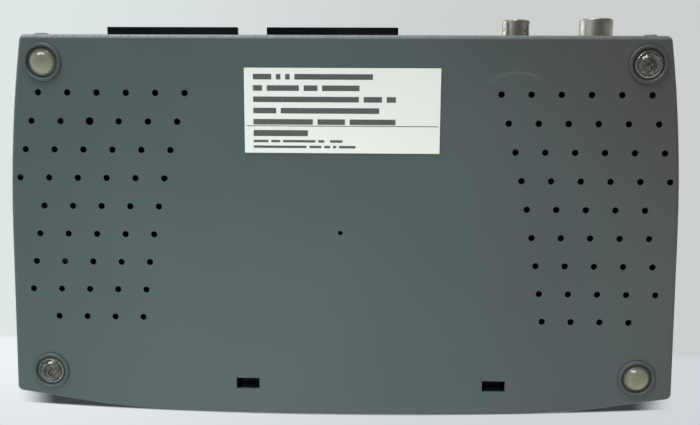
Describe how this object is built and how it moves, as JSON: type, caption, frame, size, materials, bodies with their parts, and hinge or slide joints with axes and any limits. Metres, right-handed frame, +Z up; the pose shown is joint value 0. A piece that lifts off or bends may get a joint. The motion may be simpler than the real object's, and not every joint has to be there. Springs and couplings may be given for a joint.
{
  "type": "digital tv converter box",
  "caption": "Low bowed-front set-top converter box in grey plastic, with vent fields, domed feet, front buttons and rear scart, aerial and power sockets.",
  "frame": {"origin": "centre of the footprint, with the rear sockets, on the surface that the four feet stand on", "axes": "+X to the right seen from the front, along the width; +Y to the rear; +Z up"},
  "size_m": [0.2334, 0.1406, 0.047],
  "materials": {
    "case_plastic": "fine satin texture",
    "fascia_plastic": "satin",
    "window_plastic": "polished, infrared-clear",
    "button_plastic": "satin gloss",
    "steel": "zinc plated",
    "clear_foot": "clear soft polyurethane",
    "label_stock": "satin sticker",
    "board_laminate": "solder mask",
    "socket_black": "moulded",
    "contact_metal": "bright",
    "nickel": "bright nickel",
    "tinplate": "dull tinned",
    "white_plastic": "moulded",
    "chip_resin": "moulded resin",
    "heatsink_aluminium": "extruded",
    "capacitor_sleeve": "shrink sleeve",
    "ferrite": "matt",
    "plunger_plastic": "moulded",
    "led_resin": "clear tinted resin",
    "pipe_acrylic": "clear acrylic",
    "cable_jacket": "flat ribbon"
  },
  "bodies": {
    "case": {"bottom_cover": "case_plastic", "top_cover": "case_plastic", "rear_panel": "case_plastic", "front_fascia": "fascia_plastic", "window_lens": "window_plastic", "rear_screws": "steel", "board_screws": "steel", "keypad_screws": "steel", "foot_front_left": "clear_foot", "foot_front_right": "clear_foot", "foot_rear_left": "clear_foot", "foot_rear_right": "clear_foot", "blank_label": "label_stock", "main_board": "board_laminate", "keypad_board": "board_laminate", "scart_socket_tv": "socket_black", "scart_socket_vcr": "socket_black", "dc_jack": "socket_black", "key_switches": "socket_black", "scart_contacts_tv": "contact_metal", "scart_contacts_vcr": "contact_metal", "aerial_contact": "contact_metal", "loop_pin": "contact_metal", "aerial_shell": "nickel", "loop_sleeve": "nickel", "dc_jack_pin": "nickel", "tuner_can": "tinplate", "tuner_lid": "tinplate", "aerial_insulator": "white_plastic", "loop_insulator": "white_plastic", "main_header": "white_plastic", "keypad_header": "white_plastic", "decoder_chip": "chip_resin", "memory_chips": "chip_resin", "regulator": "chip_resin", "ir_receiver": "chip_resin", "decoder_heatsink": "heatsink_aluminium", "regulator_heatsink": "heatsink_aluminium", "capacitors": "capacitor_sleeve", "power_inductors": "ferrite", "standby_led": "led_resin", "light_pipe": "pipe_acrylic", "flat_cable": "cable_jacket"},
    "standby_key": {"standby_button": "button_plastic", "standby_plunger": "plunger_plastic"},
    "channel_down_key": {"channel_down_button": "button_plastic", "channel_down_plunger": "plunger_plastic"},
    "channel_up_key": {"channel_up_button": "button_plastic", "channel_up_plunger": "plunger_plastic"}
  },
  "joints": [
    {"name": "standby_press", "type": "slide", "parent": "case", "child": "standby_key", "axis": [0, 1, 0], "range_m": [0, 0.0006], "stiffness_N_per_m": 1500},
    {"name": "channel_down_press", "type": "slide", "parent": "case", "child": "channel_down_key", "axis": [0, 1, 0], "range_m": [0, 0.0006], "stiffness_N_per_m": 1500},
    {"name": "channel_up_press", "type": "slide", "parent": "case", "child": "channel_up_key", "axis": [0, 1, 0], "range_m": [0, 0.0006], "stiffness_N_per_m": 1500}
  ]
}
